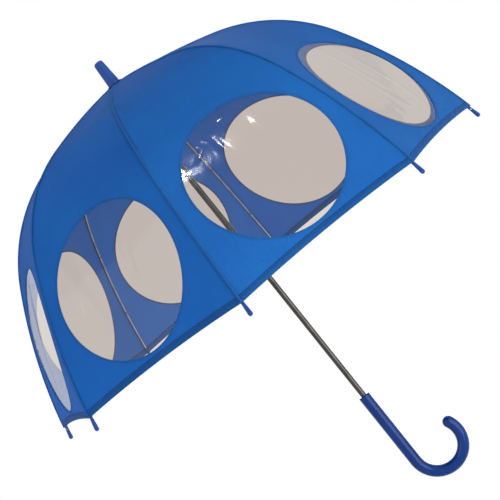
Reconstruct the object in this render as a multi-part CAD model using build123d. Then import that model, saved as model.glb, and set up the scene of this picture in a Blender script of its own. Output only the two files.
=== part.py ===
from build123d import *
from math import atan2, cos, degrees, hypot, radians, sin, tan
import os

# Child's dome umbrella, open: eight blue gores, each with a round clear window, on a wire frame.
# Millimetres, +Z towards the ferrule. The origin is on the shaft axis, halfway along the straight grip.
# The hook of the handle opens towards +X, and the first rib lies over +X.

# Canopy: along a rib, the fabric runs out from the crown in three tangent arcs.
rib_count = 8
crown_radius = 9.0
crown_run = 136.0
shoulder_run = 163.5
skirt_run = 196.0
crown_slope = 7.8
shoulder_slope = 16.7
skirt_slope = 59.5
hem_slope = 76.3
fabric_thickness = 0.6
seam_gap = 0.3
hem_scallop = 4.0
scallop_cut_depth = 60.0

# Round windows
window_radius = 94.0
window_hem_margin = 17.5
film_thickness = 0.5
film_overlap = 6.0
film_gap = 0.1

# Shaft and handle
shaft_radius = 4.0
shaft_wall = 0.6
exposed_shaft = 211.0
grip_radius = 8.0
grip_length = 110.0
grip_edge = 1.5
hook_radius = 34.5
hook_sweep = 206.0
shaft_in_grip = 60.0
fit_gap = 0.05
slide_gap = 0.08

# Ferrule and the cap under it
ferrule_length = 36.0
ferrule_base_radius = 8.7
ferrule_tip_radius = 6.5
ferrule_edge = 4.5
shaft_in_ferrule = 22.0
cap_radius = 11.0
cap_thickness = 1.2
cap_gap = 0.3

# Ribs and their plastic tips
rib_radius = 1.5
rib_depth = 3.2
blade_thickness = 1.2
eye_radius = 1.9
eye_hole_radius = 0.8
rib_blade_length = 8.0
tip_length = 18.0
tip_neck_length = 9.0
tip_neck_radius = 2.05
tip_radius = 2.9
tip_gap = 0.1
thread_hole_radius = 0.8
thread_hole_offset = 3.5

# Stretchers and the clips that hold them to the ribs
clip_place = 160.0
clip_length = 9.0
clip_width = 4.4
clip_height = 3.8
clip_drop = 4.2
clip_gap = 0.1
stretcher_radius = 1.3
rivet_radius = 0.7
rivet_gap = 0.05
rivet_head_thickness = 0.8
rivet_proud = 0.5
stretcher_outer_blade = 6.0
stretcher_inner_blade = 12.0
open_pivot_gap = 3.7
fold_angle = 45.0

# Crown and runner: notched collars threaded with a wire ring
collar_radius = 12.5
collar_back = 1.6
collar_front = 3.5
hub_radius = 6.2
hub_length = 6.5
wire_radius = 0.5
wire_gap = 0.1
slot_width = 1.8
slot_floor_gap = 0.4
sleeve_radius = 6.5
sleeve_length = 34.0
flange_radius = 10.0
flange_thickness = 3.0
pin_radius = 0.8
stop_reach = 5.6
stop_gap = 0.3

# Sprung catches in the shaft
catch_thickness = 1.6
catch_reach = 2.3
catch_height = 12.0
catch_ledge = 1.0
catch_leaf = 5.0
catch_leaf_radius = 3.0
catch_travel = 2.5
catch_side_gap = 0.3
catch_seat_gap = 0.3
lower_catch_above_flange = 8.0

# How far one solid of a piece runs into the next where they are fused, and cutters past a face
lap = 1.0

half_gore = 180.0 / rib_count
rib_run = crown_run + shoulder_run + skirt_run
catch_bearing = 5 * half_gore
window_place = rib_run - window_hem_margin - window_radius


def arc_step(slope, next_slope, run, travelled):
    """Return the outward and downward travel along part of a tangent arc, and the slope there."""
    bend = radians(next_slope - slope) / run
    start = radians(slope)
    end = start + bend * travelled
    return (sin(end) - sin(start)) / bend, (cos(start) - cos(end)) / bend, end


def canopy_line(place):
    """Return radius, drop below the apex and slope of the fabric over a rib, at a distance from the crown."""
    radius, drop, slope = crown_radius, 0.0, radians(crown_slope)
    arcs = (
        (crown_slope, shoulder_slope, crown_run),
        (shoulder_slope, skirt_slope, shoulder_run),
        (skirt_slope, hem_slope, skirt_run),
    )
    for first_slope, last_slope, run in arcs:
        if place <= 0:
            break
        out, down, slope = arc_step(first_slope, last_slope, run, min(place, run))
        radius, drop, place = radius + out, drop + down, place - run
    return radius, drop, slope


hem_radius, dome_height, hem_turn = canopy_line(rib_run)
grip_top = grip_length / 2
hem_z = grip_top + exposed_shaft
apex_z = hem_z + dome_height


def under_rib_line(place, depth):
    """Return the point in the plane of a rib that lies a depth inside the fabric."""
    radius, drop, slope = canopy_line(place)
    return Vector(radius - depth * sin(slope), 0, apex_z - drop - depth * cos(slope))


def gore_middle(place, depth=0.0):
    """Return the point and the outward normal along the middle of a gore, a depth inside the fabric."""
    radius, drop, slope = canopy_line(place)
    flat = cos(radians(half_gore))
    normal = Vector(sin(slope), 0, flat * cos(slope)).normalized()
    return Vector(radius * flat, 0, apex_z - drop) - normal * depth, normal


crown_pivot = under_rib_line(0, rib_depth)
clip_point = under_rib_line(clip_place, rib_depth)
clip_pivot = under_rib_line(clip_place, rib_depth + clip_drop)
link_length = hypot(clip_pivot.X - crown_pivot.X, clip_pivot.Z - crown_pivot.Z)
open_angle = degrees(atan2(crown_pivot.Z - clip_pivot.Z, clip_pivot.X - crown_pivot.X))
runner_pivot = Vector(crown_pivot.X, 0, 2 * clip_pivot.Z - crown_pivot.Z)
runner_travel = 2 * link_length * (sin(radians(open_angle + fold_angle)) - sin(radians(open_angle)))


def arc_between(places, depth):
    """Return a circular arc at a depth inside the fabric, through three places along a rib."""
    return ThreePointArc(*[under_rib_line(place, depth) for place in places])


def rib_path(start, end, depth):
    """Return the tangent arcs between two places along a rib, as one wire."""
    joints = [start]
    joints += [place for place in (crown_run, crown_run + shoulder_run) if start < place < end]
    joints.append(end)
    return Wire([arc_between((a, (a + b) / 2, b), depth) for a, b in zip(joints, joints[1:])])


def rod_along(path, radius):
    """Return a round rod swept along a wire."""
    return sweep(Plane(path @ 0, z_dir=path % 0) * Circle(radius), path=path)


def bar(start, end, width, height):
    """Return a rectangular bar between two points in the XZ plane, its width along Y."""
    run = end - start
    plane = Plane(start, x_dir=(0, 1, 0), z_dir=run)
    return extrude(plane * Rectangle(width, height), run.length)


def disc(centre, radius, width):
    """Return a disc whose axis runs along Y."""
    return Pos(*centre) * (Rot(90, 0, 0) * Cylinder(radius, width))


def spun(points):
    """Return the solid made by turning an outline of (radius, height) points about Z."""
    return revolve(Plane.XZ * make_face(Polyline(*points, close=True)), Axis.Z)


def tube(outer, inner, low, high):
    """Return a straight tube about Z."""
    return spun([(inner, low), (outer, low), (outer, high), (inner, high)])


def on_bearing(shape, turn):
    """Return a shape turned about the shaft axis."""
    return shape.rotate(Axis.Z, turn)


def save(shape, node):
    """Write one sub-part."""
    export_step(shape, f"parts/{node}.step")


# Canopy


def gore_sheet(depth, thickness):
    """Return an uncut curved sheet, flat from rib to rib, between two depths inside the fabric."""
    places = [rib_run * step / 14 for step in range(15)]
    outer = [gore_middle(place, depth)[0] for place in places]
    inner = [gore_middle(place, depth + thickness)[0] for place in places]
    outline = [Spline(*outer), Line(outer[-1], inner[-1])]
    outline += [Spline(*reversed(inner)), Line(inner[0], outer[0])]
    return extrude(make_face(outline), hem_radius / 2, both=True)


def window_plug(radius):
    """Return the round cutter that stands on the middle of a window."""
    centre, normal = gore_middle(window_place)
    plane = Plane(centre, x_dir=(0, 1, 0), z_dir=normal)
    return extrude(plane * Circle(radius), window_radius / 2, both=True)


def scallop_cutter():
    """Return the cutter that hollows the hem between two ribs."""
    centre, normal = gore_middle(rib_run)
    half_width = hem_radius * sin(radians(half_gore))
    radius = (half_width**2 + hem_scallop**2) / (2 * hem_scallop)
    plane = Plane(centre, x_dir=(0, 1, 0), z_dir=normal)
    upward = 1 if plane.y_dir.Z > 0 else -1
    arc_centre = Pos(0, upward * (hem_scallop - radius))
    return extrude(plane * arc_centre * Circle(radius), scallop_cut_depth, both=True)


def gore_wedge():
    """Return the wedge between two ribs, held clear of both seams."""
    tip = seam_gap / 2 / sin(radians(half_gore))
    reach = hem_radius * 1.1
    spread = (reach - tip) * tan(radians(half_gore))
    outline = make_face(Polyline((tip, 0), (reach, spread), (reach, -spread), close=True))
    return Pos(0, 0, hem_z - dome_height / 2) * extrude(outline, dome_height * 2)


def make_gore():
    panel = gore_sheet(0, fabric_thickness) & gore_wedge()
    return panel - window_plug(window_radius) - scallop_cutter()


def make_window():
    film = gore_sheet(fabric_thickness + film_gap, film_thickness)
    return film & window_plug(window_radius + film_overlap)


# Ribs and stretchers


def make_rib():
    blade_end = under_rib_line(rib_blade_length, rib_depth)
    blade = bar(crown_pivot, blade_end, blade_thickness, 2 * rib_radius)
    blade += disc(crown_pivot, eye_radius, blade_thickness)
    rod = rod_along(rib_path(rib_blade_length - lap, rib_run - lap, rib_depth), rib_radius)
    return blade + rod - disc(crown_pivot, eye_hole_radius, 2 * blade_thickness)


def make_rib_tip():
    """Return the cap on a rib's end: a socket inside the hem and a rounded nose outside it."""
    hem_point = under_rib_line(rib_run, rib_depth)
    along = Vector(cos(hem_turn), 0, -sin(hem_turn))
    plane = Plane(hem_point, x_dir=(0, 1, 0), z_dir=along)
    shoulder = tip_length - tip_radius
    neck = extrude(plane.offset(-tip_neck_length) * Circle(tip_neck_radius), tip_neck_length + lap)
    nose = loft([plane.offset(lap) * Circle(tip_neck_radius), plane.offset(shoulder) * Circle(tip_radius)])
    end = Pos(*(hem_point + along * shoulder)) * Sphere(tip_radius)
    socket = extrude(plane.offset(-tip_neck_length) * Circle(rib_radius + tip_gap), tip_neck_length)
    thread_hole = disc(hem_point + along * thread_hole_offset, thread_hole_radius, 4 * tip_radius)
    return neck + nose + end - socket - thread_hole


def clip_plane():
    """Return the plane across a rib at its clip, its Y axis pointing out through the fabric."""
    slope = canopy_line(clip_place)[2]
    return Plane(clip_point, x_dir=(0, 1, 0), z_dir=(-cos(slope), 0, sin(slope)))


def make_rib_clip():
    """Return the clip round a rib, with two ears below it, and the rivet between the ears."""
    plane = clip_plane().offset(-clip_length / 2)
    outside = 1 if plane.y_dir.Z > 0 else -1
    body = extrude(plane * Rectangle(clip_width, clip_height), clip_length)
    bore = extrude(plane * Circle(rib_radius + clip_gap), clip_length)
    ear_plane = clip_plane().offset(-eye_radius)
    ear_block = Pos(0, -outside * (clip_height / 2 + clip_drop) / 2) * Rectangle(
        clip_width, clip_drop - clip_height / 2 + lap
    )
    ears = extrude(ear_plane * ear_block, 2 * eye_radius) + disc(clip_pivot, eye_radius, clip_width)
    gap = disc(clip_pivot, eye_radius + slot_floor_gap, slot_width)
    hole = disc(clip_pivot, rivet_radius + rivet_gap, 2 * clip_width)
    rivet_length = clip_width + 2 * rivet_proud
    rivet = disc(clip_pivot, rivet_radius, rivet_length)
    for side in (1, -1):
        head_centre = clip_pivot + Vector(0, side * rivet_length / 2, 0)
        rivet += disc(head_centre, 2 * rivet_radius, rivet_head_thickness)
    return Compound([(body + ears - bore - gap - hole).solid(), rivet.solid()])


def make_stretcher():
    """Return the stretcher: an eye at the rib clip and a blade that stops short of the runner wire."""
    along = (runner_pivot - clip_pivot).normalized()
    outer_end = clip_pivot + along * stretcher_outer_blade
    inner_end = runner_pivot - along * open_pivot_gap
    inner_start = runner_pivot - along * stretcher_inner_blade
    rod = rod_along(Wire([Line(outer_end - along * lap, inner_start + along * lap)]), stretcher_radius)
    rod += bar(clip_pivot, outer_end, blade_thickness, 2 * stretcher_radius)
    rod += bar(inner_start, inner_end, blade_thickness, 2 * stretcher_radius)
    rod += disc(clip_pivot, eye_radius, blade_thickness)
    return rod - disc(clip_pivot, rivet_radius + rivet_gap, 2 * blade_thickness)


# Crown and runner


def notched_collar(pivot, side, bore):
    """Return a collar with a slot per rib and a wire groove, thicker above (side 1) or below (-1)."""
    faces = sorted((pivot.Z - side * collar_back, pivot.Z + side * collar_front))
    collar = tube(collar_radius, bore, *faces)
    floor = pivot.X - eye_radius - slot_floor_gap
    height = faces[1] - faces[0]
    length = collar_radius - floor + lap
    slot = Pos(floor + length / 2, 0, sum(faces) / 2) * Box(length, slot_width, height + lap)
    for rib in range(rib_count):
        collar -= on_bearing(slot, rib * 2 * half_gore)
    return collar - Pos(0, 0, pivot.Z) * Torus(pivot.X, wire_radius + wire_gap)


def make_wire(pivot):
    return Pos(0, 0, pivot.Z) * Torus(pivot.X, wire_radius)


pin_z = crown_pivot.Z - collar_front - hub_length / 2
runner_top = runner_pivot.Z + collar_front
sleeve_low = runner_pivot.Z - collar_back - sleeve_length
flange_low = sleeve_low - flange_thickness
stop_z = runner_top + stop_gap + pin_radius
upper_catch_top = flange_low - catch_seat_gap
lower_catch_top = flange_low - runner_travel + lower_catch_above_flange + catch_height


def cross_pin(height, reach, radius):
    """Return a pin through the shaft, along the middle of a gore."""
    pin = Pos(0, 0, height) * (Rot(0, 90, 0) * Cylinder(radius, 2 * reach))
    return on_bearing(pin, half_gore)


def make_crown():
    collar = notched_collar(crown_pivot, -1, shaft_radius + fit_gap)
    low = crown_pivot.Z - collar_front - hub_length
    hub = tube(hub_radius, shaft_radius + fit_gap, low, crown_pivot.Z - collar_front)
    return collar + hub - cross_pin(pin_z, collar_radius, pin_radius + fit_gap)


def catch_keyway(low, high):
    """Return the keyway that lets the runner pass the catches."""
    width = catch_thickness + 2 * catch_side_gap
    reach = shaft_radius + catch_reach + catch_seat_gap
    return on_bearing(Pos(reach / 2, 0, (low + high) / 2) * Box(reach, width, high - low), catch_bearing)


def make_runner():
    bore = shaft_radius + slide_gap
    collar = notched_collar(runner_pivot, 1, bore)
    sleeve = tube(sleeve_radius, bore, sleeve_low, runner_pivot.Z - collar_back)
    flange = tube(flange_radius, bore, flange_low, sleeve_low)
    return collar + sleeve + flange - catch_keyway(flange_low - lap, runner_top + lap)


# Shaft, catches and pins


def make_catch(top, ledge):
    """Return a catch: a leaf in the shaft and a tooth through its wall, ledge on top (1) or below (-1)."""
    low = top - catch_height
    ledge_z, ramp_z = (top, low) if ledge > 0 else (low, top)
    reach = shaft_radius + catch_reach
    tooth = [(0, ledge_z), (reach, ledge_z), (reach, ledge_z - ledge * catch_ledge)]
    tooth += [(catch_leaf_radius, ramp_z), (0, ramp_z)]
    leaf = [(0, low - catch_leaf), (catch_leaf_radius, low - catch_leaf)]
    leaf += [(catch_leaf_radius, top + catch_leaf), (0, top + catch_leaf)]
    plate = Sketch() + [Plane.XZ * make_face(Polyline(*outline, close=True)) for outline in (tooth, leaf)]
    return on_bearing(extrude(plate, catch_thickness / 2, both=True), catch_bearing)


def catch_slot(top):
    """Return the slot that a catch's tooth needs in the shaft's wall."""
    width = catch_thickness + 2 * catch_side_gap
    height = catch_height + 2 * catch_seat_gap
    slot = Pos(shaft_radius, 0, top - catch_height / 2) * Box(2 * shaft_radius, width, height)
    return on_bearing(slot, catch_bearing)


def make_shaft():
    foot = grip_top - shaft_in_grip
    shaft = tube(shaft_radius, shaft_radius - shaft_wall, foot, ferrule_low + shaft_in_ferrule)
    shaft -= cross_pin(pin_z, collar_radius, pin_radius + fit_gap)
    shaft -= cross_pin(stop_z, collar_radius, pin_radius + fit_gap)
    return shaft - catch_slot(upper_catch_top) - catch_slot(lower_catch_top)


def make_shaft_pins():
    """Return the pin that fixes the crown and the pin that stops the runner."""
    return Compound([cross_pin(pin_z, hub_radius, pin_radius), cross_pin(stop_z, stop_reach, pin_radius)])


# Ferrule, cap and handle

ferrule_low = apex_z + cap_gap + cap_thickness


def make_ferrule():
    top = ferrule_low + ferrule_length
    cone = spun([(0, ferrule_low), (ferrule_base_radius, ferrule_low), (ferrule_tip_radius, top), (0, top)])
    cone = fillet(cone.edges().group_by(Axis.Z)[-1], ferrule_edge)
    bore = Pos(0, 0, ferrule_low + (shaft_in_ferrule + fit_gap) / 2)
    return cone - bore * Cylinder(shaft_radius + fit_gap, shaft_in_ferrule + fit_gap)


def make_canopy_cap():
    return tube(cap_radius, shaft_radius + fit_gap, apex_z + cap_gap, ferrule_low)


def make_handle():
    """Return the straight grip and the hook, bored for the shaft, with a rounded end."""
    centre = Vector(hook_radius, 0, -grip_length / 2)
    turn = radians(180 + hook_sweep)
    half_turn = radians(180 + hook_sweep / 2)
    start = Vector(0, 0, -grip_length / 2)
    middle = centre + Vector(cos(half_turn), 0, sin(half_turn)) * hook_radius
    end = centre + Vector(cos(turn), 0, sin(turn)) * hook_radius
    path = Wire([Line((0, 0, grip_top), start), ThreePointArc(start, middle, end)])
    handle = rod_along(path, grip_radius)
    handle = fillet(handle.edges().group_by(Axis.Z)[-1], grip_edge)
    handle += Pos(*end) * Sphere(grip_radius)
    bore = Pos(0, 0, grip_top - shaft_in_grip / 2) * Cylinder(shaft_radius + fit_gap, shaft_in_grip)
    return handle - bore


os.makedirs("parts", exist_ok=True)

save(make_handle(), "handle")
save(make_shaft(), "shaft")
save(make_shaft_pins(), "shaft_pins")
save(make_ferrule(), "ferrule")
save(make_canopy_cap(), "canopy_cap")
save(make_crown(), "crown")
save(make_wire(crown_pivot), "crown_wire")
save(make_runner(), "runner")
save(make_wire(runner_pivot), "runner_wire")
save(make_catch(upper_catch_top, 1), "upper_catch")
save(make_catch(lower_catch_top, -1), "lower_catch")

rib = make_rib()
rib_tip = make_rib_tip()
rib_clip = make_rib_clip()
stretcher = make_stretcher()
gore = make_gore()
window = make_window()
for number in range(rib_count):
    bearing = number * 2 * half_gore
    save(on_bearing(rib, bearing), f"rib_{number + 1}")
    save(on_bearing(rib_tip, bearing), f"rib_tip_{number + 1}")
    save(on_bearing(rib_clip, bearing), f"rib_clip_{number + 1}")
    save(on_bearing(stretcher, bearing), f"stretcher_{number + 1}")
    save(on_bearing(gore, bearing + half_gore), f"gore_{number + 1}")
    save(on_bearing(window, bearing + half_gore), f"window_{number + 1}")
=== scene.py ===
"""A child's dome umbrella: blue cloth with a large round clear window in each of its eight gores.

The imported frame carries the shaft, handle, collars, ribs and stretchers, which only get their finishes here.
The cloth, film, seams, hems, stitching and thread ties are made here around it. Lengths are metres, written as
millimetres times MM. Gore k lies between rib k and rib k + 1, and rib 1 lies over +X.
"""

import logging
import math
import random
from dataclasses import dataclass, field
from enum import Enum
from typing import Callable, Iterable, Sequence

import bpy
from mathutils import Matrix, Vector
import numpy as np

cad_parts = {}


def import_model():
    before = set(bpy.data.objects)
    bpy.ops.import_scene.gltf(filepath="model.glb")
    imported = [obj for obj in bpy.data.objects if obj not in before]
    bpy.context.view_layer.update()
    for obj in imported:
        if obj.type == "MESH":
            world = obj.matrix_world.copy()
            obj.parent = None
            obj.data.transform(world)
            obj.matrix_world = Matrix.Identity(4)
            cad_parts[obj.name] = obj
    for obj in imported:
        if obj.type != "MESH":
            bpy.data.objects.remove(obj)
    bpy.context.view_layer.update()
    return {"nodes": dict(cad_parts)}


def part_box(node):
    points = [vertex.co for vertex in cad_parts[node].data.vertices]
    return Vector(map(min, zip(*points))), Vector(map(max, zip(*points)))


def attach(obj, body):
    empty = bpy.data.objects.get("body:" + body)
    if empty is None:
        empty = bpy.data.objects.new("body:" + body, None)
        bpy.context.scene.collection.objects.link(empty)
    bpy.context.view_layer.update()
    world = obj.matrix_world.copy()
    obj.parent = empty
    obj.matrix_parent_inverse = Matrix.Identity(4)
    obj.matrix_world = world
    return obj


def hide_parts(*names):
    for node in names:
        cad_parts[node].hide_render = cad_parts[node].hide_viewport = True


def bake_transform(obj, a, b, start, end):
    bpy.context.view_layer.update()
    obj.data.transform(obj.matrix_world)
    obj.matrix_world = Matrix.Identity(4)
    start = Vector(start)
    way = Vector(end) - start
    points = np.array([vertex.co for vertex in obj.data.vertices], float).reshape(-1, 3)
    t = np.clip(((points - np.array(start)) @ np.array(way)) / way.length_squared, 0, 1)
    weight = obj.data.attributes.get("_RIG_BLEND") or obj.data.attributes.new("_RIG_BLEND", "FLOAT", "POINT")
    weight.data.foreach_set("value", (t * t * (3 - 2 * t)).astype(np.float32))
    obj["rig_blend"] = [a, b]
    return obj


MM = 0.001
RIBS = 8
STEP = math.radians(360 / RIBS)
HALF = STEP / 2
SEED = 7

log = logging.getLogger("umbrella")


class Held(Enum):
    STRETCHED = "stretched"


# Colour and nodes


def linear(code: str) -> tuple[float, float, float, float]:
    """Return an sRGB hex colour as linear RGBA.

    Args:
        code: six hex digits, with or without a leading #.
    """
    values = [int(code.lstrip("#")[i : i + 2], 16) / 255 for i in (0, 2, 4)]
    made = [v / 12.92 if v <= 0.04045 else ((v + 0.055) / 1.055) ** 2.4 for v in values]
    return (made[0], made[1], made[2], 1.0)


def add_node(tree: bpy.types.NodeTree, kind: str, inputs: dict | None = None, **fields: object) -> bpy.types.Node:
    """Add one shader node.

    Args:
        tree: the node tree.
        kind: the node's type, without its ShaderNode prefix.
        inputs: for each input, by name or number, a value to set or a socket to link.
        fields: the node's own properties.

    Returns:
        The node.
    """
    node = tree.nodes.new("ShaderNode" + kind)
    for name, value in fields.items():
        setattr(node, name, value)
    for name, value in (inputs or {}).items():
        if isinstance(value, bpy.types.NodeSocket):
            tree.links.new(value, node.inputs[name])
        else:
            node.inputs[name].default_value = value
    return node


# Finishes


@dataclass(frozen=True)
class Finish:
    """A finish: a named node material."""

    name: str = "finish"
    slot: str = "handle_plastic"

    def surface(self, tree: bpy.types.NodeTree) -> bpy.types.NodeSocket:
        """Return the shader output of this finish."""
        raise NotImplementedError

    def material(self) -> bpy.types.Material:
        """Return this finish's material, made on first use."""
        known = bpy.data.materials.get(self.name)
        if known:
            return known
        material = bpy.data.materials.new(self.name)
        material.use_nodes = True
        material.node_tree.nodes.clear()
        add_node(material.node_tree, "OutputMaterial", {"Surface": self.surface(material.node_tree)})
        return material


@dataclass(frozen=True)
class WovenPolyester(Finish):
    """Polyester pongee, plain-woven and dyed: a matt, even cloth that glows a little where light comes through."""

    name: str = "woven_blue_polyester"
    slot: str = "canopy_fabric"
    dark: str = "#256EAA"
    bright: str = "#2879B6"
    glow: str = "#34A4F4"
    glow_share: float = 0.42
    thread: float = 2.8 * MM  # the real threads are 0.2 mm apart, drawn coarser so that they show
    yarn: tuple[float, float] = (2.6 * MM, 26 * MM)
    crease: float = 55 * MM

    def surface(self, tree: bpy.types.NodeTree) -> bpy.types.NodeSocket:
        """Return cloth that reflects most light and lets some through."""
        cloth = add_node(tree, "UVMap", uv_map="cloth").outputs["UV"]
        place = add_node(tree, "TexCoord").outputs["Object"]
        # Uneven dye and handling give broad, faint changes of blue
        cloud = add_node(tree, "TexNoise", {"Vector": place, "Scale": 1 / (90 * MM), "Detail": 3.0, "Roughness": 0.55})
        share = add_node(tree, "MapRange", {"Value": cloud.outputs["Fac"], "From Min": 0.32, "From Max": 0.68}).outputs[0]
        dyes = {0: share, 6: linear(self.dark), 7: linear(self.bright)}
        blue = add_node(tree, "Mix", dyes, data_type="RGBA").outputs[2]
        waves = []
        for direction in ("X", "Y"):
            wave = add_node(
                tree,
                "TexWave",
                {"Vector": cloth, "Scale": math.tau / (20 * self.thread), "Distortion": 0.6, "Detail": 1.0, "Detail Scale": 3.0},
                wave_type="BANDS",
                bands_direction=direction,
                wave_profile="SIN",
            )
            waves.append(wave.outputs["Fac"])
        weave = add_node(tree, "Math", {0: waves[0], 1: waves[1]}, operation="MULTIPLY").outputs[0]
        # Painted shade: the gaps between the threads are painted darker than the threads' tops
        depth = add_node(tree, "MapRange", {"Value": weave, "To Min": 0.86, "To Max": 1.1}).outputs["Result"]
        # Uneven yarns run down the gore as faint streaks
        yarns = add_node(tree, "Mapping", {"Vector": cloth, "Scale": (1 / self.yarn[0], 1 / self.yarn[1], 1.0)})
        streak = add_node(tree, "TexNoise", {"Vector": yarns.outputs["Vector"], "Scale": 1.0, "Detail": 3.0, "Roughness": 0.7})
        slub = add_node(tree, "MapRange", {"Value": streak.outputs["Fac"], "To Min": 0.8, "To Max": 1.2}).outputs["Result"]
        # shade: the painted shade of the thread gaps, times the random yarn streaks
        shade = add_node(tree, "Math", {0: depth, 1: slub}, operation="MULTIPLY").outputs[0]
        colour = add_node(tree, "VectorMath", {0: blue, "Scale": shade}, operation="SCALE").outputs[0]
        # Soft creases where the folded canopy was pressed
        crease = add_node(
            tree, "TexNoise", {"Vector": cloth, "Scale": 1 / self.crease, "Detail": 4.0, "Roughness": 0.5, "Distortion": 0.5}
        )
        soft = add_node(tree, "Bump", {"Height": crease.outputs["Fac"], "Strength": 0.32, "Distance": 2.2 * MM})
        fine = add_node(
            tree, "Bump", {"Height": weave, "Strength": 0.6, "Distance": 0.2 * MM, "Normal": soft.outputs["Normal"]}
        )
        front = add_node(
            tree,
            "BsdfPrincipled",
            {
                "Base Color": colour,
                "Roughness": 0.72,
                "Sheen Weight": 0.12,
                "Sheen Roughness": 0.4,
                "Sheen Tint": linear("#A79BDC"),
                "Specular IOR Level": 0.15,
                "Normal": fine.outputs["Normal"],
            },
        )
        through = add_node(tree, "BsdfTranslucent", {"Color": linear(self.glow), "Normal": soft.outputs["Normal"]})
        mix = add_node(
            tree, "MixShader", {"Fac": self.glow_share, 1: front.outputs["BSDF"], 2: through.outputs["BSDF"]}
        )
        return mix.outputs["Shader"]


@dataclass(frozen=True)
class ClearFilm(Finish):
    """Clear PVC film, calendered: almost colourless, warm-grey in depth, with sharp glints on its creases."""

    name: str = "clear_pvc_film"
    slot: str = "clear_film"
    tint: str = "#DDD6D1"
    haze: str = "#C9D3E0"
    haze_share: float = 0.025
    ripple: float = 30 * MM

    def surface(self, tree: bpy.types.NodeTree) -> bpy.types.NodeSocket:
        """Return film that shows what is behind it, under a clear gloss."""
        place = add_node(tree, "TexCoord").outputs["Object"]
        noise = add_node(
            tree, "TexNoise", {"Vector": place, "Scale": 1 / self.ripple, "Detail": 2.0, "Roughness": 0.4, "Distortion": 0.8}
        )
        bump = add_node(tree, "Bump", {"Height": noise.outputs["Fac"], "Strength": 0.25, "Distance": 1.2 * MM})
        clear = add_node(tree, "BsdfTransparent", {"Color": linear(self.tint)})
        # Plasticiser bloom and fine rubbing leave a thin milky veil, uneven over the window
        smear = add_node(tree, "TexNoise", {"Vector": place, "Scale": 1 / (60 * MM), "Detail": 4.0})
        veil = add_node(
            tree, "MapRange", {"Value": smear.outputs["Fac"], "To Min": 0.4 * self.haze_share, "To Max": 1.6 * self.haze_share}
        ).outputs["Result"]
        milk = add_node(tree, "BsdfDiffuse", {"Color": linear(self.haze)})
        body = add_node(tree, "MixShader", {"Fac": veil, 1: clear.outputs["BSDF"], 2: milk.outputs["BSDF"]})
        gloss = add_node(
            tree, "BsdfGlossy", {"Color": linear("#FFFFFF"), "Roughness": 0.08, "Normal": bump.outputs["Normal"]}
        )
        # Schlick's curve from the facing angle, because a film mirrors alike from both sides
        facing = add_node(tree, "LayerWeight", {"Blend": 0.5, "Normal": bump.outputs["Normal"]}).outputs["Facing"]
        steep = add_node(tree, "Math", {0: facing, 1: 5.0}, operation="POWER").outputs[0]
        mirror = add_node(tree, "MapRange", {"Value": steep, "To Min": 0.022, "To Max": 0.7}).outputs["Result"]
        mix = add_node(tree, "MixShader", {"Fac": mirror, 1: body.outputs["Shader"], 2: gloss.outputs["BSDF"]})
        return mix.outputs["Shader"]


@dataclass(frozen=True)
class Thread(Finish):
    """Spun polyester sewing thread: a soft matt line with a faint twist."""

    name: str = "sewing_thread"
    slot: str = "canopy_fabric"
    colour: str = "#2A5FAE"
    twist: float = 0.6 * MM

    def surface(self, tree: bpy.types.NodeTree) -> bpy.types.NodeSocket:
        """Return thread with its twist in the normal and the shade."""
        place = add_node(tree, "TexCoord").outputs["Object"]
        noise = add_node(tree, "TexNoise", {"Vector": place, "Scale": 1 / self.twist, "Detail": 1.0})
        bump = add_node(tree, "Bump", {"Height": noise.outputs["Fac"], "Strength": 0.5, "Distance": 0.1 * MM})
        shade = add_node(tree, "MapRange", {"Value": noise.outputs["Fac"], "To Min": 0.85, "To Max": 1.1}).outputs["Result"]
        base = add_node(tree, "RGB")
        base.outputs[0].default_value = linear(self.colour)
        colour = add_node(tree, "VectorMath", {0: base.outputs[0], "Scale": shade}, operation="SCALE").outputs[0]
        node = add_node(
            tree, "BsdfPrincipled", {"Base Color": colour, "Roughness": 0.8, "Normal": bump.outputs["Normal"]}
        )
        return node.outputs["BSDF"]


@dataclass(frozen=True)
class MouldedPlastic(Finish):
    """Polystyrene or nylon, dyed through and injection-moulded: an even colour under a gloss, faintly orange-peeled."""

    name: str = "moulded_plastic"
    slot: str = "handle_plastic"
    colour: str = "#053074"
    worn: str = "#08387F"
    roughness: float = 0.14
    gloss: float = 0.2
    coat: float = 0.0
    peel: float = 16 * MM

    def surface(self, tree: bpy.types.NodeTree) -> bpy.types.NodeSocket:
        """Return dyed plastic with a soft waviness and fine handling marks."""
        place = add_node(tree, "TexCoord").outputs["Object"]
        cloud = add_node(tree, "TexNoise", {"Vector": place, "Scale": 1 / (22 * MM), "Detail": 3.0})
        share = add_node(tree, "MapRange", {"Value": cloud.outputs["Fac"], "From Min": 0.35, "From Max": 0.75}).outputs[0]
        tones = {0: share, 6: linear(self.colour), 7: linear(self.worn)}
        colour = add_node(tree, "Mix", tones, data_type="RGBA").outputs[2]
        # Sink and flow of the moulding bend the reflections slightly
        peel = add_node(tree, "TexNoise", {"Vector": place, "Scale": 1 / self.peel, "Detail": 1.0})
        bump = add_node(tree, "Bump", {"Height": peel.outputs["Fac"], "Strength": 0.08, "Distance": 0.2 * MM})
        # Fingers dull the gloss in patches
        rubbed = add_node(tree, "TexNoise", {"Vector": place, "Scale": 1 / (6 * MM), "Detail": 5.0, "Roughness": 0.7})
        rough = add_node(
            tree,
            "MapRange",
            {"Value": rubbed.outputs["Fac"], "To Min": 0.7 * self.roughness, "To Max": 1.5 * self.roughness},
        ).outputs["Result"]
        node = add_node(
            tree,
            "BsdfPrincipled",
            {
                "Base Color": colour,
                "Roughness": rough,
                "IOR": 1.5,
                "Specular IOR Level": self.gloss,
                "Coat Weight": self.coat,
                "Coat Roughness": 0.08,
                "Normal": bump.outputs["Normal"],
            },
        )
        return node.outputs["BSDF"]


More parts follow.
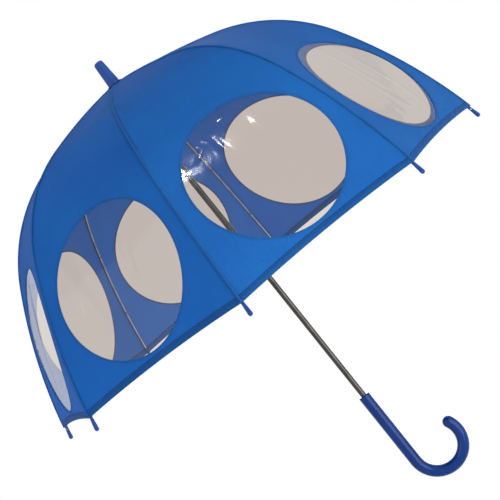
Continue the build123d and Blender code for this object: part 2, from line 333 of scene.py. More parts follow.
@dataclass(frozen=True)
class PlatedSteel(Finish):
    """Steel, drawn and plated: a bright grey metal whose drawing marks stretch its reflections along the wire."""

    name: str = "chromed_steel_tube"
    slot: str = "chromed_tube"
    colour: str = "#4A4947"
    dull: str = "#3D3C3B"
    roughness: float = 0.24
    grain: float = 0.5 * MM

    def surface(self, tree: bpy.types.NodeTree) -> bpy.types.NodeSocket:
        """Return metal with fine marks and faint tarnish."""
        place = add_node(tree, "TexCoord").outputs["Object"]
        stretched = add_node(
            tree, "Mapping", {"Vector": place, "Scale": (1.0, 1.0, 0.04)}, vector_type="POINT"
        ).outputs["Vector"]
        marks = add_node(tree, "TexNoise", {"Vector": stretched, "Scale": 1 / self.grain, "Detail": 2.0})
        cloud = add_node(tree, "TexNoise", {"Vector": place, "Scale": 1 / (14 * MM), "Detail": 3.0})
        share = add_node(tree, "MapRange", {"Value": cloud.outputs["Fac"], "From Min": 0.3, "From Max": 0.6}).outputs[0]
        tones = {0: share, 6: linear(self.dull), 7: linear(self.colour)}
        colour = add_node(tree, "Mix", tones, data_type="RGBA").outputs[2]
        rough = add_node(
            tree,
            "MapRange",
            {"Value": marks.outputs["Fac"], "To Min": 0.7 * self.roughness, "To Max": 1.5 * self.roughness},
        ).outputs["Result"]
        node = add_node(tree, "BsdfPrincipled", {"Base Color": colour, "Metallic": 1.0, "Roughness": rough})
        return node.outputs["BSDF"]


CLOTH = WovenPolyester()
# The hem is the same cloth with its dye painted darker: painted shade of the double layer, besides its smaller glow
# share
SHADED_HEM_CLOTH = WovenPolyester(name="woven_blue_hem_painted_shade", dark="#1E5F9C", bright="#216AA8", glow_share=0.34)
FILM = ClearFilm()
CLOTH_THREAD = Thread()
TIE_THREAD = Thread(name="tie_thread", colour="#23509A")
HANDLE_PLASTIC = MouldedPlastic(name="glossy_handle_plastic")
FERRULE_PLASTIC = MouldedPlastic(
    name="satin_ferrule_plastic", colour="#204990", worn="#2A54A0", roughness=0.32
)
TIP_PLASTIC = MouldedPlastic(
    name="moulded_tip_plastic", slot="tip_plastic", colour="#153F8C", worn="#1D4A9A", roughness=0.3
)
COLLAR_PLASTIC = MouldedPlastic(
    name="moulded_collar_plastic", slot="collar_plastic", colour="#1B3F86", worn="#254C96", roughness=0.34
)
CHROME = PlatedSteel()
RIB_STEEL = PlatedSteel(
    name="zinc_plated_rib_wire", slot="rib_steel", colour="#A9AAAC", dull="#85878B", roughness=0.28, grain=0.4 * MM
)
SPRING_STEEL = PlatedSteel(
    name="blued_spring_steel", slot="spring_steel", colour="#8E9094", dull="#6E7278", roughness=0.24, grain=0.4 * MM
)


# Mesh helpers


def make_mesh(
    name: str,
    points: Sequence[Vector],
    faces: Sequence[Sequence[int]],
    finish: Finish,
    cloth: Sequence[tuple[float, float]] | None = None,
    smooth: bool = True,
) -> bpy.types.Object:
    """Return a new mesh object.

    Args:
        name: the piece's name.
        points: corner places in metres.
        faces: corner numbers of each face.
        finish: its finish.
        cloth: for each corner, its place on the flat cloth in metres.
        smooth: whether its faces are shaded smooth.
    """
    mesh = bpy.data.meshes.new(name)
    mesh.from_pydata([tuple(p) for p in points], [], [tuple(f) for f in faces])
    mesh.update()
    if cloth is not None:
        layer = mesh.uv_layers.new(name="cloth")
        for loop in mesh.loops:
            layer.data[loop.index].uv = cloth[loop.vertex_index]
    for polygon in mesh.polygons:
        polygon.use_smooth = smooth
    piece = bpy.data.objects.new(name, mesh)
    bpy.context.scene.collection.objects.link(piece)
    mesh.materials.append(finish.material())
    return piece


def sweep_loop(
    line: Sequence[Vector], frames: Sequence[tuple[Vector, Vector]], outline: Sequence[tuple[float, float]], closed: bool
) -> tuple[list[Vector], list[tuple[int, ...]]]:
    """Return the points and faces of an outline carried along a line.

    Args:
        line: the places along the line.
        frames: the outline's two axes at each place.
        outline: the outline's corners, along the two axes.
        closed: whether the line closes on itself.
    """
    points: list[Vector] = []
    for place, (first, second) in zip(line, frames):
        points += [place + first * a + second * b for a, b in outline]
    width, count = len(outline), len(line)
    faces: list[tuple[int, ...]] = []
    for i in range(count if closed else count - 1):
        a, b = i * width, (i + 1) % count * width
        faces += [(a + j, a + (j + 1) % width, b + (j + 1) % width, b + j) for j in range(width)]
    if not closed:
        faces.append(tuple(reversed(range(width))))
        faces.append(tuple((count - 1) * width + j for j in range(width)))
    return points, faces


@dataclass(frozen=True)
class Stitch:
    """One sewn stitch: a short raised thread, rounded along its length."""

    length: float = 2.3 * MM
    pitch: float = 3.2 * MM
    radius: float = 0.28 * MM
    sides: int = 5

    def lay(self, centre: Vector, along: Vector, up: Vector) -> tuple[list[Vector], list[tuple[int, ...]]]:
        """Return the points and faces of one stitch.

        Args:
            centre: its middle, on the cloth.
            along: the direction of sewing.
            up: away from the cloth.
        """
        across = along.cross(up).normalized()
        rings = ((-0.5, 0.35, -0.3), (-0.3, 0.9, 0.1), (0.3, 0.9, 0.1), (0.5, 0.35, -0.3))
        line = [centre + along * (self.length * t) + up * (self.radius * rise) for t, _, rise in rings]
        points: list[Vector] = []
        for place, (_, size, _) in zip(line, rings):
            for j in range(self.sides):
                turn = 2 * math.pi * j / self.sides
                points.append(place + (across * math.cos(turn) + up * math.sin(turn)) * (self.radius * size))
        n = self.sides
        faces = [(i * n + j, i * n + (j + 1) % n, (i + 1) * n + (j + 1) % n, (i + 1) * n + j) for i in range(3) for j in range(n)]
        faces.append(tuple(reversed(range(n))))
        faces.append(tuple(3 * n + j for j in range(n)))
        return points, faces


def sew(name: str, route: Sequence[tuple[Vector, Vector]], finish: Finish, stitch: Stitch = Stitch()) -> bpy.types.Object:
    """Return a row of stitches along a route on the cloth.

    Args:
        name: the piece's name.
        route: places along the seam, each with the direction away from the cloth.
        finish: the thread's finish.
        stitch: the stitch's sizes.
    """
    points: list[Vector] = []
    faces: list[tuple[int, ...]] = []
    travelled, due = 0.0, stitch.pitch / 2
    for (a, up_a), (b, up_b) in zip(route, route[1:]):
        run = (b - a).length
        while run > 0 and travelled + run >= due:
            share = (due - travelled) / run
            new_points, new_faces = stitch.lay(a.lerp(b, share), (b - a) / run, up_a.lerp(up_b, share).normalized())
            start = len(points)
            points += new_points
            faces += [tuple(start + c for c in face) for face in new_faces]
            due += stitch.pitch
        travelled += run
    return make_mesh(name, points, faces, finish)


def with_thickness(piece: bpy.types.Object, thickness: float, offset: float) -> bpy.types.Object:
    """Give a sheet its thickness, for good.

    Args:
        piece: the sheet.
        thickness: in metres.
        offset: -1 thickens it inwards, 1 outwards.
    """
    modifier = piece.modifiers.new("thickness", "SOLIDIFY")
    modifier.thickness = thickness
    modifier.offset = offset
    modifier.use_even_offset = False
    bpy.context.view_layer.update()
    final = piece.evaluated_get(bpy.context.evaluated_depsgraph_get())
    mesh = bpy.data.meshes.new_from_object(final)
    piece.modifiers.clear()
    old, piece.data = piece.data, mesh
    bpy.data.meshes.remove(old)
    mesh.name = piece.name
    return piece


# The canopy's shape


@dataclass(frozen=True)
class CanopyLine:
    """The fabric's line over a rib: three tangent arcs from the crown to the hem, and the gores flat between ribs."""

    apex: float
    crown_radius: float = 9 * MM
    slopes: tuple[float, ...] = (7.8, 16.7, 59.5, 76.3)
    runs: tuple[float, ...] = (136 * MM, 163.5 * MM, 196 * MM)
    window_radius: float = 94 * MM
    window_hem_margin: float = 17.5 * MM
    hem_scallop: float = 4 * MM
    cloth_start: float = 4 * MM  # the cloth turns down round the crown collar when folded, and this clears it
    rounded_run: float = 40 * MM

    @property
    def run(self) -> float:
        """The length of the line."""
        return sum(self.runs)

    @property
    def window_place(self) -> float:
        """How far along the line the middle of a window lies."""
        return self.run - self.window_hem_margin - self.window_radius

    def at(self, place: float) -> tuple[float, float, float]:
        """Return radius, height and slope at a distance along the line."""
        radius, drop, slope = self.crown_radius, 0.0, math.radians(self.slopes[0])
        for first, last, run in zip(self.slopes, self.slopes[1:], self.runs):
            if place <= 0:
                break
            bend = math.radians(last - first) / run
            start = math.radians(first)
            slope = start + bend * min(place, run)
            radius += (math.sin(slope) - math.sin(start)) / bend
            drop += (math.cos(start) - math.cos(slope)) / bend
            place -= run
        if place > 0:
            radius += place * math.cos(slope)
            drop += place * math.sin(slope)
        return radius, self.apex - drop, slope

    def over_rib(self, rib: int, place: float, proud: float = 0.0) -> tuple[Vector, Vector]:
        """Return the place and outward direction over a rib.

        Args:
            rib: the rib's number.
            place: the distance along the line.
            proud: how far outside the fabric.
        """
        radius, height, slope = self.at(place)
        turn = (rib - 1) * STEP
        out = Vector((math.sin(slope) * math.cos(turn), math.sin(slope) * math.sin(turn), math.cos(slope)))
        return Vector((radius * math.cos(turn), radius * math.sin(turn), height)) + out * proud, out

    def half_width(self, place: float) -> float:
        """Return half of a gore's width at a distance along the line."""
        return self.at(place)[0] * math.sin(HALF)

    def on_gore(self, gore: int, place: float, side: float, proud: float = 0.0) -> tuple[Vector, Vector]:
        """Return the place and outward direction on a gore.

        Args:
            gore: the gore's number.
            place: the distance along the line.
            side: metres from the gore's middle, towards the next rib.
            proud: how far outside the fabric.
        """
        radius, height, slope = self.at(place)
        turn = (gore - 1) * STEP + HALF
        flat = math.cos(HALF)
        away = Vector((math.cos(turn), math.sin(turn), 0.0))
        past = Vector((-math.sin(turn), math.cos(turn), 0.0))
        normal = (away * math.sin(slope) + Vector((0, 0, flat * math.cos(slope)))).normalized()
        point = away * (radius * flat + self.rounding(place, side)) + past * side + Vector((0, 0, height))
        return point + normal * (proud - self.sag(place, side)), normal

    def rounding(self, place: float, side: float) -> float:
        """Return how far the cloth bulges outside the flat from rib to rib, where it lies round the crown collar."""
        radius = self.at(place)[0]
        across = min(1.0, abs(side) / self.half_width(place))
        return radius * (1 - math.cos(HALF)) * (1 - across**2) * max(0.0, 1 - place / self.rounded_run)

    def sag(self, place: float, side: float) -> float:
        """Return how far the cloth lies inside the flat from rib to rib, taut near the window and slacker above it."""
        across = min(1.0, abs(side) / self.half_width(place))
        share = max(0.0, 1 - ((place / self.run - 0.42) / 0.42) ** 2)
        return 2.4 * MM * share * (1 - across**2)

    @property
    def stretch(self) -> float:
        """Metres down the middle of a gore for each metre along the line, at a window."""
        slope = self.at(self.window_place)[2]
        return math.hypot(math.sin(slope), math.cos(slope) * math.cos(HALF))

    def round_window(self, radius: float, turn: float) -> tuple[float, float]:
        """Return place and side at a distance from a window's middle, in a direction."""
        return self.window_place + radius * math.sin(turn) / self.stretch, radius * math.cos(turn)


def follow_both_ribs(piece: bpy.types.Object, gore: int, line: CanopyLine) -> None:
    """Sew a piece of a gore to both of its ribs, so that it turns from one rib's motion to the next rib's.

    The blend's share is set from the bearing of each point, because the gore narrows to the crown and both of its
    seams have to stay on their ribs all the way up.

    Args:
        piece: the piece, with its final mesh.
        gore: the gore's number.
        line: the canopy's line.
    """
    start, _ = line.over_rib(gore, line.run)
    end, _ = line.over_rib(gore + 1, line.run)
    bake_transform(piece, f"rib_arm_{gore}", f"canopy_panel_{gore}", start=tuple(start), end=tuple(end))
    shares = piece.data.attributes["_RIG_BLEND"].data
    middle = (gore - 1) * STEP + HALF
    for vertex, share in zip(piece.data.vertices, shares):
        x, y, _ = vertex.co
        ahead = x * math.cos(middle) + y * math.sin(middle)
        aside = -x * math.sin(middle) + y * math.cos(middle)
        share.value = min(1.0, max(0.0, 0.5 + math.atan2(aside, max(ahead, MM)) / STEP))


@dataclass
class Gore:
    """One gore: the cloth with its round opening, its hem, its window's turned edge, its film and its stitching."""

    number: int
    line: CanopyLine
    thickness: float = 0.35 * MM
    upper_rows: int = 44
    columns: int = 32
    block_rows: int = 24
    ring_rows: int = 14
    pucker: float = 0.35 * MM
    hem_width: float = 8 * MM
    edge_width: float = 1.5 * MM
    film_overlap: float = 1.2 * MM
    film_thickness: float = 0.3 * MM
    pieces: list[bpy.types.Object] = field(default_factory=list)

    def puckered(self, place: float, side: float) -> float:
        """Return how far the seams' thread draws the cloth up in small waves beside each rib."""
        edge = self.line.half_width(place) - abs(side)
        if edge > 14 * MM:
            return 0.0
        return -self.pucker * math.sin(math.pi * edge / (14 * MM)) * (1 + math.sin(place / (5.5 * MM) + self.number))

    def hem_place(self, side: float) -> float:
        """Return how far along the line the scalloped edge lies."""
        across = min(1.0, abs(side) / self.line.half_width(self.line.run))
        return self.line.run - self.line.hem_scallop * (1 - across**2)

    def cloth_point(self, place: float, side: float, proud: float = 0.0) -> Vector:
        """Return a point on the outside of this gore's cloth."""
        return self.line.on_gore(self.number, place, side, proud + self.puckered(place, side))[0]

    def outer_border(self, top: float) -> list[tuple[float, float]]:
        """Return place and side round the lower block: its top edge, its right seam, its hem and its left seam."""
        line, n, m = self.line, self.columns, self.block_rows
        wide = line.half_width(top)
        border = [(top, wide * (2 * i / n - 1)) for i in range(n)]
        rows = [top + (line.run - top) * i / m for i in range(m + 1)]
        border += [(row, line.half_width(row)) for row in rows[:-1]]
        foot = line.half_width(line.run)
        hem = [foot * (1 - 2 * i / n) for i in range(n)]
        border += [(self.hem_place(side), side) for side in hem]
        border += [(row, -line.half_width(row)) for row in reversed(rows[1:])]
        return border

    def cloth(self) -> bpy.types.Object:
        """Return the woven panel with its round opening."""
        line, n = self.line, self.columns
        top = line.window_place - line.window_radius - 26 * MM
        spots: list[tuple[float, float]] = []
        for i in range(self.upper_rows + 1):
            place = line.cloth_start + (top - line.cloth_start) * i / self.upper_rows
            wide = line.half_width(place)
            spots += [(place, wide * (2 * j / n - 1)) for j in range(n + 1)]
        faces = [
            (i * (n + 1) + j, (i + 1) * (n + 1) + j, (i + 1) * (n + 1) + j + 1, i * (n + 1) + j + 1)
            for i in range(self.upper_rows)
            for j in range(n)
        ]
        border = self.outer_border(top)
        first = self.upper_rows * (n + 1)
        rim = [line.round_window(line.window_radius, self.bearing(spot)) for spot in border]
        rings = [[first + i if i <= n else -1 for i in range(len(border))]]
        for i, spot in enumerate(border):
            if rings[0][i] < 0:
                rings[0][i] = len(spots)
                spots.append(spot)
        for step in range(1, self.ring_rows + 1):
            share = 1 - (1 - step / self.ring_rows) ** 1.15
            rings.append(list(range(len(spots), len(spots) + len(border))))
            spots += [
                (a[0] + (b[0] - a[0]) * share, a[1] + (b[1] - a[1]) * share) for a, b in zip(border, rim)
            ]
        count = len(border)
        for outer, inner in zip(rings, rings[1:]):
            faces += [(outer[i], inner[i], inner[(i + 1) % count], outer[(i + 1) % count]) for i in range(count)]
        points = [self.cloth_point(*spot) for spot in spots]
        piece = make_mesh(f"gore_cloth_{self.number}", points, faces, CLOTH, cloth=[(b, a) for a, b in spots])
        return with_thickness(piece, self.thickness, -1)

    def bearing(self, spot: tuple[float, float]) -> float:
        """Return the direction of a spot from the window's middle."""
        return math.atan2((spot[0] - self.line.window_place) * self.line.stretch, spot[1])

    def window_edge(self) -> bpy.types.Object:
        """Return the turned and sewn edge of the cloth round the window."""
        count, line = 96, self.line
        inner, outer = line.window_radius - 0.6 * MM, line.window_radius + self.edge_width
        outline = (
            (outer, -0.1 * MM),
            (outer - 0.4 * MM, 0.3 * MM),
            (inner + 0.6 * MM, 0.38 * MM),
            (inner, 0.15 * MM),
            (inner, -0.4 * MM),
            (inner + 0.7 * MM, -0.42 * MM),
        )
        points: list[Vector] = []
        flat: list[tuple[float, float]] = []
        for i in range(count):
            turn = 2 * math.pi * i / count
            for radius, proud in outline:
                place, side = line.round_window(radius, turn)
                points.append(self.cloth_point(place, side, proud))
                flat.append((side, place))
        w = len(outline)
        faces = [
            (i * w + j, i * w + (j + 1) % w, (i + 1) % count * w + (j + 1) % w, (i + 1) % count * w + j)
            for i in range(count)
            for j in range(w)
        ]
        return make_mesh(f"window_edge_{self.number}", points, faces, CLOTH, cloth=flat)

    def window_stitching(self) -> bpy.types.Object:
        """Return the stitches round the window."""
        route, count = [], 120
        for i in range(count + 1):
            place, side = self.line.round_window(self.line.window_radius + 3.0 * MM, 2 * math.pi * i / count)
            route.append((self.cloth_point(place, side, 0.08 * MM), self.line.on_gore(self.number, place, side)[1]))
        return sew(f"window_stitching_{self.number}", route, CLOTH_THREAD)

    def creases(self) -> Callable[[float, float], float]:
        """Return how far the film stands proud at a place across and down its disc, from a few soft creases."""
        rng = random.Random(SEED * 100 + self.number)
        made = []

        def add(turn: float, radius: float, lean: float, length: float, width: float, height: float) -> None:
            """Add one crease, by its place round and out from the middle."""
            made.append((radius * math.cos(turn), radius * math.sin(turn), lean, length, width, height))

        crown, foot = -math.pi / 2, math.pi / 2
        for _ in range(16):  # small sharp crumples near the edge that faces the crown
            add(crown + rng.uniform(-0.9, 0.5), rng.uniform(72, 90) * MM, rng.uniform(-1.4, 1.4),
                rng.uniform(2.5, 7) * MM, rng.uniform(0.9, 1.8) * MM, rng.uniform(0.15, 0.4) * MM)
        for _ in range(5):  # longer ones along the hem side, where the folded canopy is pressed
            add(foot + rng.uniform(-0.7, 0.7), rng.uniform(58, 84) * MM, rng.uniform(-0.2, 0.2),
                rng.uniform(10, 26) * MM, rng.uniform(1.2, 2.2) * MM, rng.uniform(0.2, 0.45) * MM)
        for _ in range(3):  # soft fold marks that run from crown to hem
            add(rng.uniform(-math.pi, math.pi), rng.uniform(0, 50) * MM, foot + rng.uniform(-0.1, 0.1),
                rng.uniform(30, 60) * MM, rng.uniform(3, 6) * MM, rng.uniform(0.3, 0.7) * MM)

        def rise(across: float, down: float) -> float:
            """Return the height at one place."""
            total = 0.0
            for x, y, lean, length, width, height in made:
                u = (across - x) * math.cos(lean) + (down - y) * math.sin(lean)
                v = -(across - x) * math.sin(lean) + (down - y) * math.cos(lean)
                total += height * math.exp(-((u / length) ** 2) - (v / width) ** 2)
            return total

        return rise

    def film(self) -> bpy.types.Object:
        """Return the clear disc behind the opening."""
        line, rise = self.line, self.creases()
        rings, around = 60, 160
        reach = line.window_radius + self.film_overlap
        depth = -(self.thickness + 0.25 * MM)
        centre = self.cloth_point(line.window_place, 0.0, depth + rise(0, 0))
        points, faces = [centre], []
        for i in range(1, rings + 1):
            radius = reach * i / rings
            calm = min(1.0, max(0.0, (line.window_radius - radius) / (12 * MM)))
            for j in range(around):
                turn = 2 * math.pi * j / around
                place, side = line.round_window(radius, turn)
                lift = rise(side, radius * math.sin(turn)) * calm
                points.append(self.cloth_point(place, side, depth - lift))
        faces += [(0, 1 + j, 1 + (j + 1) % around) for j in range(around)]
        for i in range(rings - 1):
            a, b = 1 + i * around, 1 + (i + 1) * around
            faces += [(a + j, b + j, b + (j + 1) % around, a + (j + 1) % around) for j in range(around)]
        return make_mesh(f"window_film_{self.number}", points, faces, FILM)

    def hem(self) -> bpy.types.Object:
        """Return the folded hem along the scalloped edge."""
        count, wide = 48, self.line.half_width(self.line.run)
        outline = ((0.3, -0.35), (0.5, 0.0), (0.15, 0.5), (-self.hem_width / MM, 0.35), (-self.hem_width / MM, 0.0))
        inside = ((-self.hem_width / MM, -0.35), (-self.hem_width / MM, -0.95), (0.15, -0.95))
        points: list[Vector] = []
        flat: list[tuple[float, float]] = []
        profile = [(a * MM, b * MM) for a, b in outline + inside]
        for i in range(count + 1):
            side = wide * (2 * i / count - 1)
            for along, proud in profile:
                place = self.hem_place(side) + along
                reach = self.line.half_width(place) / wide
                points.append(self.cloth_point(place, side * reach, proud))
                flat.append((side, place))
        w = len(profile)
        faces = [
            (i * w + j, (i + 1) * w + j, (i + 1) * w + (j + 1) % w, i * w + (j + 1) % w)
            for i in range(count)
            for j in range(w)
        ]
        faces.append(tuple(range(w)))
        faces.append(tuple(reversed([count * w + j for j in range(w)])))
        return make_mesh(f"hem_{self.number}", points, faces, SHADED_HEM_CLOTH, cloth=flat)

    def hem_stitching(self) -> bpy.types.Object:
        """Return the stitches that hold the hem."""
        route, count, wide = [], 40, self.line.half_width(self.line.run)
        for i in range(count + 1):
            side = wide * 0.985 * (2 * i / count - 1)
            place = self.hem_place(side) - self.hem_width + 1.6 * MM
            reach = self.line.half_width(place) / wide
            point = self.cloth_point(place, side * reach, 0.45 * MM)
            route.append((point, self.line.on_gore(self.number, place, side * reach)[1]))
        return sew(f"hem_stitching_{self.number}", route, CLOTH_THREAD)

    def build(self) -> None:
        """Make this gore's pieces and sew them to its two ribs."""
        cloth, film = self.cloth(), self.film()
        trims = [self.window_edge(), self.window_stitching(), self.hem(), self.hem_stitching()]
        self.pieces = [cloth, film, *trims]
        for piece in self.pieces:
            follow_both_ribs(piece, self.number, self.line)
        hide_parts(f"gore_{self.number}")
        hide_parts(f"window_{self.number}")
        width, length = 2 * self.line.half_width(self.line.run), self.line.run - self.line.cloth_start
        self.cut_area()

    def cut_area(self) -> float:
        """Return the cloth's flat area: the gore less its round opening."""
        steps = 200
        rows = [self.line.run * (i + 0.5) / steps for i in range(steps)]
        whole = sum(2 * self.line.half_width(row) for row in rows) * self.line.run / steps
        return whole * 0.985 - math.pi * self.line.window_radius**2


@dataclass
class RibSeam:
    """The felled seam over one rib, with its two rows of stitches and the threads that tie the cloth to the rib."""

    number: int
    line: CanopyLine
    width: float = 3.6 * MM
    proud: float = 0.75 * MM
    rib_depth: float = 3.2 * MM
    tie_places: tuple[float, ...] = (225 * MM, 330 * MM, 425 * MM)

    def across(self) -> Vector:
        """Return the direction across the rib."""
        turn = (self.number - 1) * STEP
        return Vector((-math.sin(turn), math.cos(turn), 0.0))

    def ridge(self) -> bpy.types.Object:
        """Return the folded ridge of cloth over the rib."""
        outline = ((-0.5, -0.3), (-0.42, 0.55), (-0.12, 0.8), (0.12, 0.95), (0.42, 0.6), (0.5, -0.3), (0.0, -1.1))
        profile = [(a * self.width, b * self.proud) for a, b in outline]
        count = 110
        start = self.line.cloth_start
        rows = [start + (self.line.run - start) * i / count for i in range(count + 1)]
        spots = [self.line.over_rib(self.number, row) for row in rows]
        points, faces = sweep_loop(
            [spot for spot, _ in spots], [(self.across(), out) for _, out in spots], profile, closed=False
        )
        flat = [(a, row) for row in rows for a, _ in profile]
        return make_mesh(f"rib_seam_{self.number}", points, faces, CLOTH, cloth=flat)

    def stitching(self) -> bpy.types.Object:
        """Return the row of stitches beside the ridge."""
        count, route = 100, []
        for i in range(count + 1):
            spot, out = self.line.over_rib(self.number, 14 * MM + (self.line.run - 18 * MM) * i / count, self.proud * 0.72)
            route.append((spot + self.across() * self.width * 0.3, out))
        return sew(f"rib_stitching_{self.number}", route, CLOTH_THREAD)

    def coil(self, name: str, centre: Vector, axis: Vector, radius: float, turns: int) -> bpy.types.Object:
        """Return a few turns of thread round a line.

        Args:
            name: the piece's name.
            centre: the middle of the turns.
            axis: the line that they go round.
            radius: from the line to the middle of the thread.
            turns: how many turns.
        """
        first = axis.orthogonal().normalized()
        second = axis.cross(first).normalized()
        thread, around, sides = 0.32 * MM, 16, 6
        line, frames = [], []
        for i in range(turns * around + 1):
            turn = 2 * math.pi * i / around
            away = first * math.cos(turn) + second * math.sin(turn)
            line.append(centre + away * radius + axis * (thread * 1.7 * (i / around - turns / 2)))
            frames.append((away, axis))
        outline = [(thread * math.cos(2 * math.pi * j / sides), thread * math.sin(2 * math.pi * j / sides)) for j in range(sides)]
        points, faces = sweep_loop(line, frames, outline, closed=False)
        return make_mesh(name, points, faces, TIE_THREAD)

    def tie(self, index: int, place: float) -> bpy.types.Object:
        """Return the thread that ties the seam to the rib at a place along it."""
        spot, out = self.line.over_rib(self.number, place, -self.rib_depth + 0.9 * MM)
        along = self.across().cross(out).normalized()
        return self.coil(f"rib_tie_{self.number}_{index}", spot, along, 2.35 * MM, 3)

    def tip_tie(self) -> bpy.types.Object:
        """Return the thread that sews the hem's corner to the rib's tip."""
        spot, out = self.line.over_rib(self.number, self.line.run - 1.5 * MM, -self.rib_depth + 0.6 * MM)
        along = self.across().cross(out).normalized()
        return self.coil(f"tip_tie_{self.number}", spot, along, 3.1 * MM, 3)

    def build(self) -> None:
        """Make this seam's pieces and hang them on the rib."""
        pieces = [self.ridge(), self.stitching(), self.tip_tie()]
        pieces += [self.tie(index + 1, place) for index, place in enumerate(self.tie_places)]
        for piece in pieces:
            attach(piece, f"rib_arm_{self.number}")


@dataclass(frozen=True)
class CrownPatch:
    """The small round of cloth under the washer, from the shaft out to where the gores begin. It never turns."""

    line: CanopyLine
    hole: float = 4.3 * MM
    thickness: float = 0.3 * MM
    segments: int = 72

    def build(self) -> None:
        """Make the patch and fix it to the shaft."""
        radius, height, _ = self.line.at(self.line.cloth_start)
        edge, drop = radius - 0.08 * MM, self.line.apex - height
        top = [(self.hole, 0.2 * MM), (self.line.crown_radius + 1.5 * MM, 0.2 * MM), (edge, -drop)]
        profile = top + [(spot, rise - self.thickness) for spot, rise in reversed(top)]
        turns = [2 * math.pi * i / self.segments for i in range(self.segments)]
        frames = [(Vector((math.cos(turn), math.sin(turn), 0.0)), Vector((0.0, 0.0, 1.0))) for turn in turns]
        centre = Vector((0.0, 0.0, self.line.apex))
        points, faces = sweep_loop([centre] * self.segments, frames, profile, closed=True)
        flat = [(spot * math.cos(turn), spot * math.sin(turn)) for turn in turns for spot, _ in profile]
        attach(make_mesh("crown_patch", points, faces, CLOTH, cloth=flat), "shaft_assembly")


# Hard parts


@dataclass
class Hardware:
    """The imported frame's own parts, which keep their shape and get their finishes."""

    finishes: tuple[tuple[str, Finish], ...] = (
        ("handle", HANDLE_PLASTIC),
        ("ferrule", FERRULE_PLASTIC),
        ("canopy_cap", HANDLE_PLASTIC),
        ("shaft_pins", CHROME),
        ("shaft", CHROME),
        ("crown_wire", SPRING_STEEL),
        ("runner_wire", SPRING_STEEL),
        ("crown", COLLAR_PLASTIC),
        ("runner", COLLAR_PLASTIC),
        ("upper_catch", SPRING_STEEL),
        ("lower_catch", SPRING_STEEL),
        ("rib_tip_", TIP_PLASTIC),
        ("rib_clip_", RIB_STEEL),
        ("rib_", RIB_STEEL),
        ("stretcher_", RIB_STEEL),
    )

    def finish_of(self, node: str) -> Finish:
        """Return a node's finish, by its name or the start of its name."""
        for start, finish in self.finishes:
            if node == start or (start.endswith("_") and node.startswith(start)):
                return finish
        return COLLAR_PLASTIC

    def dress(self, nodes: dict[str, bpy.types.Object]) -> None:
        """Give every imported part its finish.

        Args:
            nodes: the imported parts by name.
        """
        for name, part in nodes.items():
            if name.startswith(("gore_", "window_")):
                continue
            material = self.finish_of(name).material()
            if not part.material_slots:
                part.data.materials.append(material)
            for slot in part.material_slots:
                slot.material = material


# The studio


@dataclass(frozen=True)
class Lamp:
    """A soft area lamp."""

    name: str
    place: tuple[float, float, float]
    size: float
    watts: float
    colour: str = "#FFFFFF"

    def light(self, aim: Vector) -> None:
        """Place this lamp, aimed at a point."""
        data = bpy.data.lights.new(self.name, "AREA")
        data.shape = "DISK"
        data.size = self.size
        data.energy = self.watts
        data.color = linear(self.colour)[:3]
        lamp = bpy.data.objects.new(self.name, data)
        bpy.context.scene.collection.objects.link(lamp)
        lamp.location = self.place
        lamp.rotation_euler = (aim - Vector(self.place)).to_track_quat("-Z", "Y").to_euler()


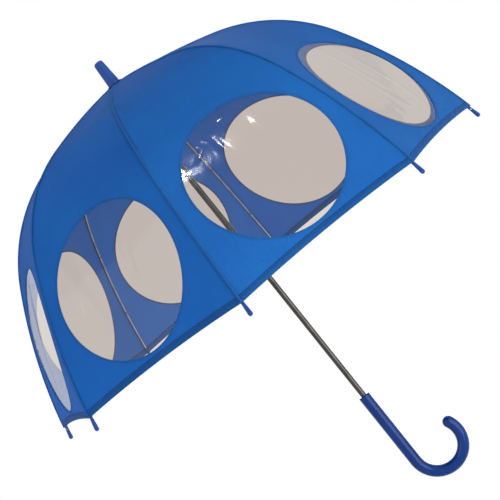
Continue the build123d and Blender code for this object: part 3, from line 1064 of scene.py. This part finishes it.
@dataclass(frozen=True)
class Studio:
    """White sweep, soft lamps and the camera."""

    aim: tuple[float, float, float] = (0.0027, 0.0003, 0.2968)
    distance: float = 2.0328
    azimuth: float = -6.753
    elevation: float = 1.368
    roll: float = -38.676
    lens: float = 112.08
    floor_height: float = -0.9
    lamps: tuple[Lamp, ...] = (
        Lamp("key_lamp", (1.9, -2.0, -0.15), 2.6, 62.0),
        Lamp("fill_lamp", (-1.9, -1.5, 1.2), 2.0, 12.0, "#F1EFFF"),
        Lamp("back_lamp", (0.5, 2.5, 0.2), 2.4, 46.0),
        Lamp("spark_lamp", (1.24, -1.29, 2.41), 0.07, 3.2),
    )

    def white(self, name: str) -> bpy.types.Material:
        """Return paper that the camera and reflections see as white and that keeps the object's shadow."""
        material = bpy.data.materials.new(name)
        material.use_nodes = True
        tree = material.node_tree
        tree.nodes.clear()
        path = add_node(tree, "LightPath").outputs
        seen = add_node(tree, "Math", {0: path["Is Camera Ray"], 1: path["Is Glossy Ray"]}, operation="MAXIMUM").outputs[0]
        seen = add_node(tree, "Math", {0: seen, 1: path["Is Transmission Ray"]}, operation="MAXIMUM").outputs[0]
        paper = add_node(tree, "BsdfDiffuse", {"Color": linear("#F2F1EF")})
        glow = add_node(tree, "Emission", {"Color": linear("#FFFFFF"), "Strength": 1.0})
        share = add_node(tree, "Math", {0: seen, 1: 0.93}, operation="MULTIPLY").outputs[0]
        mix = add_node(tree, "MixShader", {"Fac": share, 1: paper.outputs[0], 2: glow.outputs[0]})
        add_node(tree, "OutputMaterial", {"Surface": mix.outputs[0]})
        return material

    def floor(self) -> None:
        """Lay a pale floor well below the umbrella."""
        half = 1.6
        mesh = bpy.data.meshes.new("studio_floor")
        corners = [(-half, -half), (half, -half), (half, half), (-half, half)]
        mesh.from_pydata([(x, y, self.floor_height) for x, y in corners], [], [(0, 1, 2, 3)])
        floor = bpy.data.objects.new("studio_floor", mesh)
        bpy.context.scene.collection.objects.link(floor)
        mesh.materials.append(self.white("white_studio_paper"))

    def world(self) -> None:
        """Fill the studio with soft even light that looks white."""
        world = bpy.data.worlds.new("studio")
        bpy.context.scene.world = world
        world.use_nodes = True
        tree = world.node_tree
        tree.nodes.clear()
        path = add_node(tree, "LightPath").outputs
        seen = add_node(tree, "Math", {0: path["Is Camera Ray"], 1: path["Is Glossy Ray"]}, operation="MAXIMUM").outputs[0]
        seen = add_node(tree, "Math", {0: seen, 1: path["Is Transmission Ray"]}, operation="MAXIMUM").outputs[0]
        even = add_node(tree, "Background", {"Color": linear("#F3F5FA"), "Strength": 0.55})
        white = add_node(tree, "Background", {"Color": linear("#FFFFFF"), "Strength": 1.0})
        mix = add_node(tree, "MixShader", {"Fac": seen, 1: even.outputs[0], 2: white.outputs[0]})
        add_node(tree, "OutputWorld", {"Surface": mix.outputs[0]})

    def camera(self) -> None:
        """Stand the camera in front of the umbrella, rolled so that the shaft leans across the picture."""
        turn, rise = math.radians(self.azimuth), math.radians(self.elevation)
        back = Vector((-math.sin(turn) * math.cos(rise), -math.cos(turn) * math.cos(rise), math.sin(rise)))
        data = bpy.data.cameras.new("camera")
        data.lens = self.lens
        data.sensor_width = 36.0
        camera = bpy.data.objects.new("camera", data)
        bpy.context.scene.collection.objects.link(camera)
        camera.location = Vector(self.aim) + back * self.distance
        level = back.to_track_quat("Z", "Y").to_matrix().to_4x4()
        camera.matrix_world = (
            Matrix.Translation(camera.location) @ level @ Matrix.Rotation(math.radians(self.roll), 4, "Z")
        )
        bpy.context.scene.camera = camera

    def build(self) -> None:
        """Set up the whole studio."""
        self.camera()
        self.world()
        self.floor()
        for lamp in self.lamps:
            lamp.light(Vector(self.aim))
        bpy.context.scene.view_settings.view_transform = "Standard"


def report(names: Iterable[str]) -> None:
    """Log each piece that was made."""
    for name in names:
        log.info("made %s", name)


def main() -> None:
    """Build the studio, the canopy and the hardware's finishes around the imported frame."""
    logging.basicConfig(level=logging.INFO, format="%(name)s: %(message)s")
    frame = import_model()
    Studio().build()
    line = CanopyLine(apex=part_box("gore_1")[1][2])
    Hardware().dress(frame["nodes"])
    for number in range(1, RIBS + 1):
        gore = Gore(number, line)
        gore.build()
        report(piece.name for piece in gore.pieces)
        RibSeam(number, line).build()
    CrownPatch(line).build()
    report(["crown_patch", "hardware finishes"])


if __name__ == "__main__":
    main()
